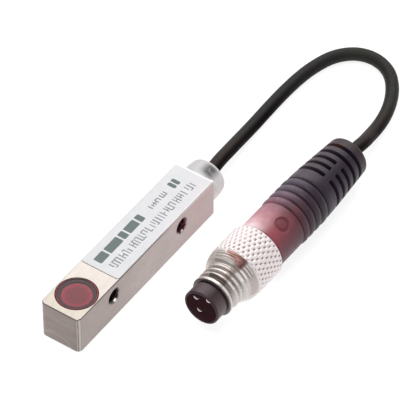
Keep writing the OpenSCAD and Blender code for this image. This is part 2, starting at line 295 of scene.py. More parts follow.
def rounded_block(x, y0, y1, z, corner, rear, rim):
    b = bmesh.new()
    bmesh.ops.create_cube(b, size=1)
    bmesh.ops.scale(b, vec=(2 * x, y1 - y0, z), verts=b.verts)
    bmesh.ops.translate(b, vec=(0, (y0 + y1) / 2, z / 2), verts=b.verts)
    posts = [e for e in b.edges if abs(e.verts[0].co.z - e.verts[1].co.z) > 1]
    bmesh.ops.bevel(b, geom=[e for e in posts if e.verts[0].co.y < 0], offset=corner, segments=10, profile=0.5, affect="EDGES")
    posts = [e for e in b.edges if abs(e.verts[0].co.z - e.verts[1].co.z) > 1 and e.verts[0].co.y > y1 - 0.01
             and abs(abs(e.verts[0].co.x) - x) < 0.01]
    bmesh.ops.bevel(b, geom=posts, offset=rear, segments=4, profile=0.5, affect="EDGES")
    rims = [e for e in b.edges if abs(e.verts[0].co.z - e.verts[1].co.z) < 1e-5
            and len([f for f in e.link_faces if abs(f.normal.z) > 0.9]) == 1]
    bmesh.ops.bevel(b, geom=rims, offset=rim, segments=4, profile=0.5, affect="EDGES")
    m = bpy.data.meshes.new("block")
    bmesh.ops.recalc_face_normals(b, faces=b.faces)
    b.to_mesh(m)
    b.free()
    return m


def box_mesh(lo, hi):
    x0, y0, z0 = lo
    x1, y1, z1 = hi
    v = [(x0, y0, z0), (x1, y0, z0), (x1, y1, z0), (x0, y1, z0),
         (x0, y0, z1), (x1, y0, z1), (x1, y1, z1), (x0, y1, z1)]
    f = [(0, 3, 2, 1), (4, 5, 6, 7), (0, 1, 5, 4), (1, 2, 6, 5), (2, 3, 7, 6), (3, 0, 4, 7)]
    return raw_mesh("box", v, f)


def thread_cutter(y, z, half=4.0):
    """What an M3 tap takes out across the block, with a countersink at both mouths."""
    seg, step = 48, 0.05
    xs = np.arange(-half - 0.3, half + 0.3 + 1e-6, step)
    a = np.arange(seg) * 2 * math.pi / seg
    rings = []
    for x in xs:
        q = (x / 0.5 - a / (2 * math.pi)) % 1.0
        tooth = np.clip((np.abs(q - 0.5) * 2 - 0.12) / 0.76, 0, 1)
        r = 1.24 + 0.3 * (1 - tooth)
        sink = 1.25 + max(0.0, abs(x) - (half - 0.42))
        r = np.maximum(r, sink)
        rings.append(np.stack([np.full(seg, x), y + r * np.cos(a), z + r * np.sin(a)], 1))
    verts = np.concatenate(rings)
    faces = []
    for k in range(len(xs) - 1):
        for i in range(seg):
            j = (i + 1) % seg
            faces.append((k * seg + i, k * seg + j, (k + 1) * seg + j, (k + 1) * seg + i))
    faces.append(tuple(range(seg))[::-1])
    faces.append(tuple((len(xs) - 1) * seg + i for i in range(seg)))
    return raw_mesh("tap", verts, faces)


housing = link("housing_shell", rounded_block(4, -22, 18, 8, 0.95, 0.25, 0.2))
seat = fillets([(0, 6.9), (3.7, 6.9), (3.7, 7.93), (3.78, 8.01), (3.78, 8.4), (0, 8.4)], 0.0)
cut(housing, [
    raw_mesh("seat", *lathe(seat, 128, closed=False), upright(0, -17, 0)),
    raw_mesh("chamber", *lathe([(0, 0.9), (3, 0.9), (3, 7.2), (0, 7.2)], 96, closed=False), upright(0, -17, 0)),
    box_mesh((-3.1, -20.4, 0.9), (3.1, 13.5, 3.4)),
    raw_mesh("bore", *lathe([(0, 0), (3, 0), (3, 6.85), (3.2, 7.05), (3.2, 7.4), (0, 7.4)], 96, closed=False), along_y(0, 11, 3.8)),
    thread_cutter(-11.8, 5.2),
    thread_cutter(8.2, 5.2)])
finish_mesh(housing, sharp=32, weld=0.002)
weighted(housing)
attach(housing, "sensor")
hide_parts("housing")

# ---------------------------------------------------------------- window and ring

crown = [(2.75 * math.sin(t) / math.sin(0.5) * 1.0, 7.78 + 0.055 * (1 - (t / 0.5) ** 2)) for t in np.linspace(0, 0.5, 10)]
outline = [(0, 6.9), (3.57, 6.9), (3.65, 6.98), (3.65, 7.93), (3.62, 7.98), (3.56, 8.0),
           (3.42, 8.0), (3.38, 7.98), (3.37, 7.93), (3.37, 7.5), (2.83, 7.5), (2.83, 7.72), (2.8, 7.77)]
outline += [(min(r, 2.76), z) for r, z in crown[::-1]]
window = link("red_window_disc", raw_mesh("red_window_disc", *lathe(outline, 128, closed=False), upright(0, -17, 0)))
finish_mesh(window, sharp=50)
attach(window, "sensor")
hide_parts("lens_window")

ring = link("dark_ring", raw_mesh("dark_ring", *lathe(
    fillets([(2.85, 7.5), (3.35, 7.5), (3.35, 7.94), (2.85, 7.94)], 0.06, 3), 128), upright(0, -17, 0)))
finish_mesh(ring, sharp=50)
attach(ring, "sensor")
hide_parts("aperture_ring")

# ---------------------------------------------------------------- label and its print


def plate(x0, x1, y0, y1, z0, z1, radius, soft, n=6):
    """A thin plate with round corners and a softened upper edge."""
    outline = np.array(fillets([(x0, y0), (x1, y0), (x1, y1), (x0, y1)], radius, n))
    middle = np.array([(x0 + x1) / 2, (y0 + y1) / 2])
    half = np.array([(x1 - x0) / 2, (y1 - y0) / 2])
    levels = [(0.0, z0)]
    if soft > 0:
        levels += [(0.0, z1 - soft), (soft * 0.3, z1 - soft * 0.3), (soft, z1)]
    else:
        levels += [(0.0, z1)]
    verts, faces, k = [], [], len(outline)
    for inset, z in levels:
        shape = middle + (outline - middle) * (1 - inset / half)
        verts += [(p[0], p[1], z) for p in shape]
    for a in range(len(levels) - 1):
        for i in range(k):
            j = (i + 1) % k
            faces.append((a * k + i, a * k + j, (a + 1) * k + j, (a + 1) * k + i))
    faces.append(tuple(range(k))[::-1])
    faces.append(tuple((len(levels) - 1) * k + i for i in range(k)))
    return verts, faces


foil = link("label_foil", raw_mesh("label_foil", *plate(-3.85, 3.85, -10.4, 17.8, 8.0, 8.08, 0.55, 0.03)))
finish_mesh(foil, sharp=40)
weighted(foil)
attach(foil, "sensor")
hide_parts("label")


# a thin dark strip showing just in front of the foil's front edge: a painted shadow of that edge
rim = link("foil_painted_shadow_strip", raw_mesh("foil_painted_shadow_strip", *plate(-3.8, 3.8, -10.52, -9.4, 7.99, 8.014, 0.5, 0.0)))
finish_mesh(rim, sharp=40)
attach(rim, "sensor")


def bars(name, plates):
    verts, faces = [], []
    for p in plates:
        v, f = plate(*p)
        base = len(verts)
        verts += v
        faces += [tuple(i + base for i in g) for g in f]
    return link(name, raw_mesh(name, verts, faces))


ink_z0, ink_z1 = 8.079, 8.092
bold = []
for y0, y1 in ((-9.1, -6.6), (-6.2, -2.6), (-2.2, -0.9), (-0.5, 2.3), (2.7, 3.9)):
    bold.append((-2.3, -0.55, y0, y1, ink_z0, ink_z1, 0.18, 0.0, 3))
for y0, y1 in ((12.5, 13.3), (13.6, 14.4)):
    bold.append((-2.25, -0.5, y0, y1, ink_z0, ink_z1, 0.3, 0.0, 4))
fine = []


def strokes(y, end, x0, x1, seed, wide=(0.18, 0.21, 0.25)):
    """A run of plain thin strokes of uneven length and spacing, in groups."""
    r = np.random.default_rng(seed)
    left = int(r.integers(5, 10))
    while y < end:
        lean = r.choice([0.0, 0.0, 0.0, 0.18, 0.3]) * (x1 - x0)
        side = r.integers(0, 2)
        w = float(r.choice(wide))
        fine.append((x0 + (lean if side else 0), x1 - (0 if side else lean), y, y + w, ink_z0, ink_z1, 0.06, 0.0, 2))
        gap = float(r.uniform(0.34, 0.52))
        if r.random() < 0.6:
            xm = float(r.choice([x0, (x0 + x1) / 2 - 0.1, x1 - 0.2]))
            fine.append((xm, xm + 0.2, y + w, min(end, y + w + gap), ink_z0, ink_z1, 0.04, 0.0, 2))
        y += w + gap
        left -= 1
        if left <= 0:
            y += 0.45
            left = int(r.integers(5, 10))


strokes(-8.6, 15.2, 0.55, 2.15, 5)
strokes(6.3, 10.9, -1.85, -0.85, 8)
heavy_print = bars("print_bold", bold)
fine_print = bars("print_fine", fine)
for o in (heavy_print, fine_print):
    finish_mesh(o, sharp=40)
    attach(o, "sensor")

# ---------------------------------------------------------------- cable boot

dome = [(3.75 - 0.35 * (1 - math.cos(a)), 19.5 + 2.5 * math.sin(a)) for a in np.radians(np.linspace(0, 72, 13))]
boot_line = [(1.66, 13.5), (2.9, 13.5), (2.95, 13.55), (2.95, 17.98), (3.67, 17.98), (3.73, 18.0), (3.75, 18.06)]
boot_line += dome + [(3.46, 21.955), (3.39, 21.99), (3.3, 22), (1.45, 22), (1.34, 21.96), (1.31, 21.85), (1.31, 16.3), (1.66, 16.3)]
boot = link("frosted_boot", raw_mesh("frosted_boot", *lathe(
    [(r, u - 13.5) for r, u in boot_line], 128), along_y(0, 13.5, 3.8)))
finish_mesh(boot, sharp=50)
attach(boot, "sensor")
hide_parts("cable_boot")

# ---------------------------------------------------------------- connector grip

RIBS = (24.05, 25.8, 27.6, 29.4, 31.3)
SLOTS = (34.4, 36.35, 38.2, 40.1, 42.1)
MARK = (math.radians(270), 20.75)


def grip_radius(u):
    """The outer line of the grip without its slots and mark."""
    r = np.full_like(u, 4.75)
    taper = [(31.5, 4.78), (32.2, 4.8), (33, 4.76), (35, 4.67), (43.6, 4.0), (44.5, 3.93)]
    r = np.where(u > 31.5, np.interp(u, *zip(*taper)), r)
    inside = (u > RIBS[0] - 0.1) & (u < RIBS[-1] + 0.1)
    near = np.min(np.abs(u[:, None] - np.array(RIBS)[None]), axis=1)
    r = r + np.where(inside, 0.17 * smooth(near / 0.75), 0)
    r = r - 0.27 * np.exp(-((near / 0.14) ** 2)) - 0.12 * np.exp(-((near / 0.35) ** 2))
    r = r - 0.3 * (1 - np.sqrt(np.clip(1 - np.clip((17.2 - u) / 0.3, 0, 1) ** 2, 0, 1)))
    rear = np.clip((u - 44.1) / 0.4, 0, 1)
    r = r - 0.3 * (1 - np.sqrt(np.clip(1 - rear**2, 0, 1)))
    return r


def grip_depth(theta, u, outer):
    """How far the slots and the round mark go in at each point."""
    depth = np.zeros(np.broadcast(theta, u).shape)
    for i, c in enumerate(SLOTS):
        turn = 0 if i < 3 else math.pi / 2
        off = np.abs((theta - math.pi / 2 - turn + math.pi / 2) % math.pi - math.pi / 2)
        across = off * outer - 0.65
        lengthways = 0.4 - np.abs(u - c)
        rc = 0.22
        corner = (across < rc) & (lengthways < rc)
        d = np.where(corner, rc - np.hypot(rc - across, rc - lengthways), np.minimum(across, lengthways))
        edge = 0.11 - np.sqrt(np.clip(0.0121 - np.clip(d + 0.11, 0, 0.11) ** 2, 0, None))
        full = outer - 2.3
        depth = np.maximum(depth, np.where(d < -0.11, 0, np.where(d < 0, edge, 0.11 + (full - 0.11) * np.clip(d / 0.045, 0, 1))))
    arc = ((theta - MARK[0] + math.pi) % (2 * math.pi) - math.pi) * outer
    rho = np.hypot(arc, u - MARK[1])
    bowl = 0.3 * smooth((1.53 - rho) / 0.2)
    dot = 0.22 * smooth((0.98 - rho) / 0.24)
    return np.maximum(depth, bowl - dot)


def spaced_values(lo, hi, step, extra, least):
    vals = sorted(set(np.round(np.concatenate([np.arange(lo, hi, step), extra]), 6)))
    out = [vals[0]]
    hard = set(np.round(extra, 6))
    for v in vals[1:]:
        if v - out[-1] >= least:
            out.append(v)
        elif v in hard and out[-1] not in hard:
            out[-1] = v
    return np.array(out)


edges_u = []
for c in SLOTS:
    for s in (-1, 1):
        edges_u += [c + s * (0.4 + k) for k in (0.11, 0.085, 0.06, 0.035, 0.015, 0.0, -0.045, -0.09)]
for c in RIBS:
    edges_u += list(c + np.linspace(-0.36, 0.36, 13))
edges_u += list(np.arange(19.05, 22.5, 0.11))
edges_u += list(16.9 + 0.3 * (1 - np.cos(np.linspace(0, math.pi / 2, 6))))
edges_u += list(44.1 + 0.4 * np.sin(np.linspace(0, math.pi / 2, 9)))
us = spaced_values(16.9, 44.5, 0.3, np.array(edges_u), 0.012)
us = us[(us >= 16.9) & (us <= 44.5)]
edges_t = []
for quarter in (0, 90, 180, 270):
    wide = math.degrees(0.65 / 4.45)
    for s in (-1, 1):
        edges_t += [quarter + s * (wide + math.degrees(k / 4.45)) for k in (-0.12, -0.09, -0.06, -0.03, 0.0, 0.045, 0.1)]
edges_t += list(np.arange(250, 290.01, 1.3))
ts = spaced_values(0, 360, 2.4, np.array(edges_t) % 360, 0.25)
ts = np.radians(ts)
outer = grip_radius(us)
T, U = np.meshgrid(ts, us)
R = outer[:, None] - grip_depth(T, U, outer[:, None])
rings = [np.stack([R[i] * np.cos(ts), R[i] * np.sin(ts), np.full(len(ts), us[i])], 1) for i in range(len(us))]


def circle(r, u):
    return np.stack([r * np.cos(ts), r * np.sin(ts), np.full(len(ts), u)], 1)


for r, u in ((2.0, 44.5), (1.42, 44.5), (1.32, 44.4), (1.3, 44.3), (1.3, 26.05), (1.35, 26), (2.2, 26), (2.2, 24), (3.0, 24),
             (3.0, 20), (3.6, 20), (3.6, 18), (3.0, 18), (3.0, 16.95), (3.05, 16.9)):
    rings.append(circle(r, u))
grip = link("grip_moulding", raw_mesh("grip_moulding", *loft(rings), plug))
finish_mesh(grip, sharp=60)
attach(grip, "sensor")
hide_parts("connector_grip")

# ---------------------------------------------------------------- coupling screw

SEG = 360
turns = np.arange(SEG) / SEG
angles = turns * 2 * math.pi


def around(r, u):
    r = np.broadcast_to(np.asarray(r, float), (SEG,))
    return np.stack([r * np.cos(angles), r * np.sin(angles), np.full(SEG, u)], 1)


body_line = [(4.3, 4.0), (7.2, 4.0), (7.35, 4.25), (7.6, 4.53), (8.0, 4.8), (8.4, 4.98), (8.9, 5.12), (9.5, 5.2), (9.9, 5.24)]


def thread_ring(u):
    base = np.interp(u, *zip(*body_line))
    q = ((u - 4.16) / 1.12 - turns) % 1.0
    tooth = smooth((np.abs(q - 0.5) * 2 - 0.1) / 0.72)
    depth = 0.5 * (1 - smooth((u - 7.4) / 1.3))
    r = base - depth * (1 - tooth)
    fine = smooth((u - 7.9) / 0.3) * smooth((9.35 - u) / 0.2)
    r = r - 0.07 * fine * (0.5 - 0.5 * math.cos(2 * math.pi * (u - 8.12) / 0.48))
    start = 3.5 + (u - 4.2) * 1.25
    return np.minimum(r, max(start, 3.46))


def knurl_ring(u):
    p1 = (32 * turns + (u - 9.9) * 0.56) % 1.0
    p2 = (32 * turns - (u - 9.9) * 0.56) % 1.0
    v1 = np.clip(1 - np.abs((p1 + 0.5) % 1.0 - 0.5) * 2 / 0.78, 0, 1)
    v2 = np.clip(1 - np.abs((p2 + 0.5) % 1.0 - 0.5) * 2 / 0.78, 0, 1)
    deep = smooth((u - 9.85) / 0.25) * smooth((16.45 - u) / 0.25)
    shell = 5.35 - 0.14 * (1 - smooth((u - 9.8) / 0.4)) - 0.28 * np.clip((u - 16.2) / 0.4, 0, 1) ** 2
    return shell - deep * (0.11 * np.maximum(v1, v2) + 0.18 * v1 * v2)


rings = []
front = fillets([(3.05, 3.0), (3.8, 3.0), (3.96, 3.16), (3.96, 3.72), (3.46, 3.84), (3.46, 4.2)],
                [0, 0.07, 0.07, 0.12, 0.06, 0], 3, closed=False)
for r, u in front:
    rings.append(around(r, u))
for u in np.arange(4.25, 9.37, 0.05):
    rings.append(around(thread_ring(u), u))
for u in (9.45, 9.6, 9.7):
    rings.append(around(np.interp(u, *zip(*body_line)), u))
for u in np.concatenate([[9.8], np.arange(9.9, 16.55, 0.0775), [16.57]]):
    rings.append(around(knurl_ring(u), u))
for r, u in ((4.8, 16.6), (3.4, 16.6), (3.15, 16.6), (3.05, 16.5), (3.05, 9.8), (3.05, 3.1)):
    rings.append(around(r, u))
screw = link("knurled_screw", raw_mesh("knurled_screw", *loft(rings), plug))
finish_mesh(screw, sharp=60)
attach(screw, "coupling")
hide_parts("coupling_screw")

# ---------------------------------------------------------------- contact carrier and pins

cup = fillets(
    [(0, 4.8), (2.65, 4.8), (2.65, 2.45), (3.05, 2.1), (3.05, 0.0), (3.45, 0.0), (3.45, 2.7), (3.0, 2.7), (3.0, 8.5), (0, 8.5)],
    [0, 0.15, 0.05, 0.05, 0.12, 0.27, 0.1, 0.05, 0.05, 0], 6, closed=False)
carrier = link("nose_cup", raw_mesh("nose_cup", *lathe(cup, 128, closed=False), plug))
wells = []
for a in (90, 180, 270):
    c = (1.9 * math.cos(math.radians(a)), -1.9 * math.sin(math.radians(a)), 0)
    wells.append(raw_mesh("well", *lathe([(0, 4.5), (0.72, 4.5), (0.56, 4.95), (0.51, 5.0), (0.51, 9), (0, 9)], 40, closed=False),
                          plug @ Matrix.Translation(c)))
cut(carrier, wells)
finish_mesh(carrier, sharp=42, weld=0.001)
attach(carrier, "sensor")
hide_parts("contact_carrier")

verts, faces = [], []
tip = fillets([(0, 0.75), (0.5, 0.75), (0.5, 10), (0, 10)], [0, 0.3, 0.05, 0], 7, closed=False)
for a in (90, 180, 270):
    v, f = lathe(tip, 40, closed=False)
    base = len(verts)
    verts += [(x + 1.9 * math.cos(math.radians(a)), y - 1.9 * math.sin(math.radians(a)), z) for x, y, z in v]
    faces += [tuple(i + base for i in g) for g in f]
pins = link("pin_set", raw_mesh("pin_set", verts, faces, plug))
finish_mesh(pins, sharp=60)
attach(pins, "sensor")
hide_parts("contact_pins")

# ---------------------------------------------------------------- materials


class Paint:
    """A small helper that builds one node material."""

    def __init__(self, name):
        self.m = bpy.data.materials.new(name)
        self.m.use_nodes = True
        self.t = self.m.node_tree
        self.t.nodes.clear()
        self.out = self.t.nodes.new("ShaderNodeOutputMaterial")
        self.b = self.t.nodes.new("ShaderNodeBsdfPrincipled")
        self.t.links.new(self.b.outputs[0], self.out.inputs[0])
        self.coords = self.t.nodes.new("ShaderNodeTexCoord").outputs["Object"]

    def set(self, **values):
        for k, v in values.items():
            self.b.inputs[k.replace("_", " ")].default_value = v
        return self

    def link(self, a, b):
        self.t.links.new(a, b)

    def point(self, scale=(1, 1, 1), move=(0, 0, 0)):
        """Object coordinates in millimetres, scaled."""
        n = self.t.nodes.new("ShaderNodeMapping")
        n.inputs["Scale"].default_value = tuple(1000 * s for s in scale)
        n.inputs["Location"].default_value = move
        self.link(self.coords, n.inputs["Vector"])
        return n.outputs[0]

    def axis(self, name):
        """One object coordinate in millimetres."""
        n = self.t.nodes.new("ShaderNodeSeparateXYZ")
        self.link(self.point(), n.inputs[0])
        return n.outputs[name]

    def along(self, direction, origin=(0, 0, 0)):
        """How far a point lies along a direction from an origin, in millimetres."""
        n = self.t.nodes.new("ShaderNodeVectorMath")
        n.operation = "DOT_PRODUCT"
        self.link(self.point(move=tuple(-v for v in origin)), n.inputs[0])
        n.inputs[1].default_value = direction
        return n.outputs["Value"]

    def noise(self, scale, detail=3.0, rough=0.5, stretch=(1, 1, 1), move=(0, 0, 0), distort=0.0):
        n = self.t.nodes.new("ShaderNodeTexNoise")
        n.inputs["Scale"].default_value = scale
        n.inputs["Detail"].default_value = detail
        n.inputs["Roughness"].default_value = rough
        n.inputs["Distortion"].default_value = distort
        self.link(self.point(stretch, move), n.inputs["Vector"])
        return n.outputs[0]

    def math(self, op, a, b=None, c=None, clamp=False):
        n = self.t.nodes.new("ShaderNodeMath")
        n.operation, n.use_clamp = op, clamp
        for i, v in enumerate((a, b, c)):
            if v is None:
                continue
            if isinstance(v, (int, float)):
                n.inputs[i].default_value = v
            else:
                self.link(v, n.inputs[i])
        return n.outputs[0]

    def range(self, v, a, b, c=0.0, d=1.0, smoothly=False):
        n = self.t.nodes.new("ShaderNodeMapRange")
        n.interpolation_type = "SMOOTHSTEP" if smoothly else "LINEAR"
        self.link(v, n.inputs["Value"])
        for k, x in zip(("From Min", "From Max", "To Min", "To Max"), (a, b, c, d)):
            n.inputs[k].default_value = x
        return n.outputs[0]

    def times(self, *values):
        out = values[0]
        for v in values[1:]:
            out = self.math("MULTIPLY", out, v)
        return out

    def ramp(self, v, stops):
        n = self.t.nodes.new("ShaderNodeValToRGB")
        r = n.color_ramp
        while len(r.elements) < len(stops):
            r.elements.new(0.5)
        for e, (x, c) in zip(r.elements, stops):
            e.position, e.color = x, (*c, 1)
        self.link(v, n.inputs[0])
        return n.outputs[0]

    def mix(self, f, a, b):
        n = self.t.nodes.new("ShaderNodeMix")
        n.data_type = "RGBA"
        for s, v in ((n.inputs[0], f), (n.inputs[6], a), (n.inputs[7], b)):
            if isinstance(v, (int, float)):
                s.default_value = v
            elif isinstance(v, tuple):
                s.default_value = (*v, 1)
            else:
                self.link(v, s)
        return n.outputs[2]

    def colour(self, v):
        self.link(v, self.b.inputs["Base Color"])
        return self

    def rough(self, v):
        self.link(v, self.b.inputs["Roughness"])
        return self

    def bump(self, height, distance_mm, strength=1.0, after=None):
        n = self.t.nodes.new("ShaderNodeBump")
        n.inputs["Strength"].default_value = strength
        n.inputs["Distance"].default_value = distance_mm * MM
        self.link(height, n.inputs["Height"])
        if after is not None:
            self.link(after, n.inputs["Normal"])
        self.link(n.outputs[0], self.b.inputs["Normal"])
        return n.outputs[0]


def put(obj, paint):
    obj.data.materials.clear()
    obj.data.materials.append(paint.m)


def srgb(r, g, b):
    """A linear colour from three 0-255 display values."""
    return tuple(((v / 255 + 0.055) / 1.055) ** 2.4 if v > 10 else v / 255 / 12.92 for v in (r, g, b))


lengthwise = (math.sin(turn), math.cos(turn), 0.0)
crosswise = (math.cos(turn), -math.sin(turn), 0.0)

# satin nickel of the block: fine brushing along it, faint stains, and painted reflections and painted shade on its
# faces, edges, front corner and cross holes
p = Paint("satin_nickel").set(Metallic=1.0, Roughness=0.3)
stain = p.noise(0.22, 4, 0.55)
fine_stain = p.noise(1.3, 4, 0.65, move=(7, 3, 1))
base = p.ramp(stain, [(0.3, (0.415, 0.375, 0.345)), (0.5, (0.445, 0.402, 0.372)), (0.72, (0.475, 0.42, 0.4))])
base = p.mix(p.range(fine_stain, 0.38, 0.7, 0.0, 0.45), base, (0.385, 0.345, 0.315))
# painted red reflection: the side faces turn pink towards the rear
rear = p.times(p.range(p.axis("Y"), 2, 19, 0, 1, True), p.range(p.noise(0.35, 2, 0.5, move=(2, 8, 5)), 0.35, 0.6, 0.3, 1, True),
               p.range(p.axis("X"), 3.0, 3.9))
base = p.mix(p.math("MULTIPLY", rear, 0.55), base, (0.52, 0.335, 0.345))
# painted shade and painted red reflection: the side faces are multiplied darker towards the front and pinker towards
# the rear
side_painted_shade_tint = p.mix(p.range(p.axis("Y"), -13, -2, 0, 1, True), (0.79, 0.735, 0.735), (0.95, 0.885, 0.91))
side_shade_multiply = p.t.nodes.new("ShaderNodeMix")
side_shade_multiply.data_type, side_shade_multiply.blend_type = "RGBA", "MULTIPLY"
p.link(p.times(p.range(p.axis("X"), 3.0, 3.9), p.range(p.axis("Z"), 7.9, 7.8)), side_shade_multiply.inputs[0])
p.link(base, side_shade_multiply.inputs[6])
p.link(side_painted_shade_tint, side_shade_multiply.inputs[7])
base = side_shade_multiply.outputs[2]
# painted shade: the front face is darkened, unevenly in streaks
front = p.range(p.axis("Y"), -21.5, -21.85, 0, 1)
streak = p.noise(0.5, 3, 0.6, stretch=(0.35, 1, 1.6), move=(3, 1, 9), distort=0.6)
base = p.mix(p.times(front, p.range(streak, 0.35, 0.7, 0.8, 1.0)), base, (0.24, 0.195, 0.18))
# painted reflection: a lighter arc line across the lower front face
arc = p.math("POWER", p.math("ADD", p.math("POWER", p.math("DIVIDE", p.math("ADD", p.axis("X"), 0.9), 3.0), 2),
                             p.math("POWER", p.math("DIVIDE", p.math("ADD", p.axis("Z"), -0.1), 1.9), 2)), 0.5)
base = p.mix(p.times(front, p.range(p.math("ABSOLUTE", p.math("ADD", arc, -1.0)), 0.02, 0.14, 0.4, 0, True)), base, (0.4, 0.35, 0.33))
# painted reflections on the rounded front right corner: a lighter stripe and two dark lines
corner = p.along((1, 1, 0), (3.05, -21.05, 0))
wobble = p.math("ADD", corner, p.range(p.noise(1.3, 3, 0.6, stretch=(0, 0, 1)), 0.3, 0.7, -0.05, 0.05))
at_corner = p.times(p.range(p.axis("X"), 3.05, 3.15), p.range(p.axis("Y"), -21.05, -21.15))
corner_painted_highlight = p.times(at_corner, p.range(p.math("ABSOLUTE", p.math("ADD", corner, -0.15)), 0.62, 0.5))
base = p.mix(p.math("MULTIPLY", corner_painted_highlight, 0.75), base, (0.5, 0.455, 0.43))
corner_painted_dark_line = p.times(p.range(p.math("ABSOLUTE", p.math("ADD", wobble, 0.094)), 0.08, 0.15, 1, 0, True), p.range(p.noise(2.2, 3, 0.6, move=(5, 5, 5)), 0.35, 0.55, 0.45, 1))
corner_painted_thin_line = p.times(p.range(p.math("ABSOLUTE", p.math("ADD", corner, -0.63)), 0.03, 0.08, 1, 0, True), 0.7)
base = p.mix(p.times(at_corner, p.math("MAXIMUM", corner_painted_dark_line, corner_painted_thin_line), 0.9), base, (0.06, 0.05, 0.045))
# painted shade: a dark line along the rounded top edge, strongest towards the front
rims = p.times(p.range(p.axis("Z"), 7.78, 7.86), p.range(p.axis("Z"), 7.985, 7.95), p.range(p.axis("Y"), -6, 12, 0.55, 0.1))
# painted shade: the top face gets a tone of its own, darker towards the front
base = p.mix(p.range(p.axis("Z"), 7.86, 7.96), base, p.mix(p.range(p.axis("Y"), -12.5, -20, 0, 1, True), p.mix(fine_stain, (0.388, 0.356, 0.335), (0.402, 0.364, 0.343)), (0.352, 0.325, 0.288)))
base = p.mix(rims, base, (0.16, 0.125, 0.11))
# painted highlight: the rounded top edge turns pale towards the rear and glows a little through the emission below
painted_rim_highlight = p.times(p.range(p.axis("Z"), 7.78, 7.86), p.range(p.axis("Z"), 7.985, 7.95), p.range(p.axis("Y"), 2, 12))
base = p.mix(painted_rim_highlight, base, (0.9, 0.8, 0.79))
# painted highlight: a pale line along the rear top edge
rear_painted_highlight = p.times(p.range(p.axis("Z"), 7.9, 7.95), p.range(p.axis("Y"), 17.5, 17.6))
base = p.mix(rear_painted_highlight, base, (0.9, 0.88, 0.87))
# painted shade in the cross holes: their walls go near black with a ragged edge, and near each mouth's bottom a small
# painted glint is left bright and made to glow
hole_a = p.math("POWER", p.math("ADD", p.math("POWER", p.math("ADD", p.axis("Y"), 11.8), 2), p.math("POWER", p.math("ADD", p.axis("Z"), -5.2), 2)), 0.5)
hole_b = p.math("POWER", p.math("ADD", p.math("POWER", p.math("ADD", p.axis("Y"), -8.2), 2), p.math("POWER", p.math("ADD", p.axis("Z"), -5.2), 2)), 0.5)
hole = p.math("MINIMUM", hole_a, hole_b)
reach = p.math("ABSOLUTE", p.axis("X"))
ragged = p.math("ADD", reach, p.range(p.noise(1.6, 2, 0.5, move=(2, 2, 2)), 0.35, 0.65, -0.12, 0.12))
depth = p.range(ragged, 3.95, 3.75, 0.15, 1)
front_hole_painted_glint = p.times(p.range(p.axis("Z"), 4.15, 4.05), p.range(p.math("ABSOLUTE", p.math("ADD", p.axis("Y"), 11.4)), 0.36, 0.24), p.range(reach, 3.55, 3.65))
rear_hole_painted_glint = p.times(p.range(p.axis("Z"), 4.15, 4.05), p.range(p.math("ABSOLUTE", p.math("ADD", p.axis("Y"), -8.4)), 0.34, 0.2), p.range(reach, 3.6, 3.7))
edge = p.math("ADD", hole, p.range(p.noise(2.0, 2, 0.5, move=(6, 2, 4)), 0.35, 0.65, -0.11, 0.11))
shade = p.times(p.range(edge, 1.5, 1.57, 1, 0), depth, p.range(front_hole_painted_glint, 0, 1, 1, 0), p.range(rear_hole_painted_glint, 0, 1, 1, 0.2))
base = p.mix(p.math("MULTIPLY", shade, 0.97), base, p.mix(p.range(p.axis("Y"), 0, 1), (0.02, 0.008, 0.01), (0.09, 0.012, 0.024)))
p.colour(base)
# the emission makes the painted glints and the painted rim highlight glow
p.b.inputs["Emission Color"].default_value = (1.0, 0.95, 0.93, 1)
p.link(p.math("ADD", p.times(p.math("ADD", front_hole_painted_glint, p.times(rear_hole_painted_glint, 0.45)), p.range(hole, 1.6, 1.64, 0.8, 0)), p.times(painted_rim_highlight, 0.28)), p.b.inputs["Emission Strength"])
p.rough(p.range(p.noise(1.1, 3, 0.6, stretch=(1, 0.25, 1)), 0.3, 0.7, 0.26, 0.36))
brushed = p.noise(9, 2, 0.6, stretch=(1, 0.05, 1))
first = p.bump(brushed, 0.004, 0.35)
p.bump(p.noise(2.4, 3, 0.55), 0.012, 0.3, after=first)
put(housing, p)

# red filter window
p = Paint("red_filter").set(Roughness=0.3, Specular_IOR_Level=0.25)
n = p.t.nodes.new("ShaderNodeVectorMath")
n.operation = "LENGTH"
p.link(p.point(move=(0, 17, 0), scale=(1, 1, 0)), n.inputs[0])
radial = p.math("DIVIDE", n.outputs["Value"], 3.65)
# painted glint: the outer red rim is lighter on its left, right and front sides and dark at the far side
flank = p.range(p.math("ABSOLUTE", p.along((0.823, 0.568, 0), (0, -17, 0))), 1.2, 2.8, 0, 1, True)
near = p.range(p.along((0.568, -0.823, 0), (0, -17, 0)), 1.8, 3.3, 0, 0.6, True)
d = p.t.nodes.new("ShaderNodeVectorMath")
d.operation = "LENGTH"
p.link(p.point(move=(-0.15, 17.15, 0), scale=(1, 1, 0)), d.inputs[0])
disc = p.math("ADD", d.outputs["Value"], p.range(p.noise(0.9, 2, 0.5), 0.3, 0.7, -0.04, 0.04))
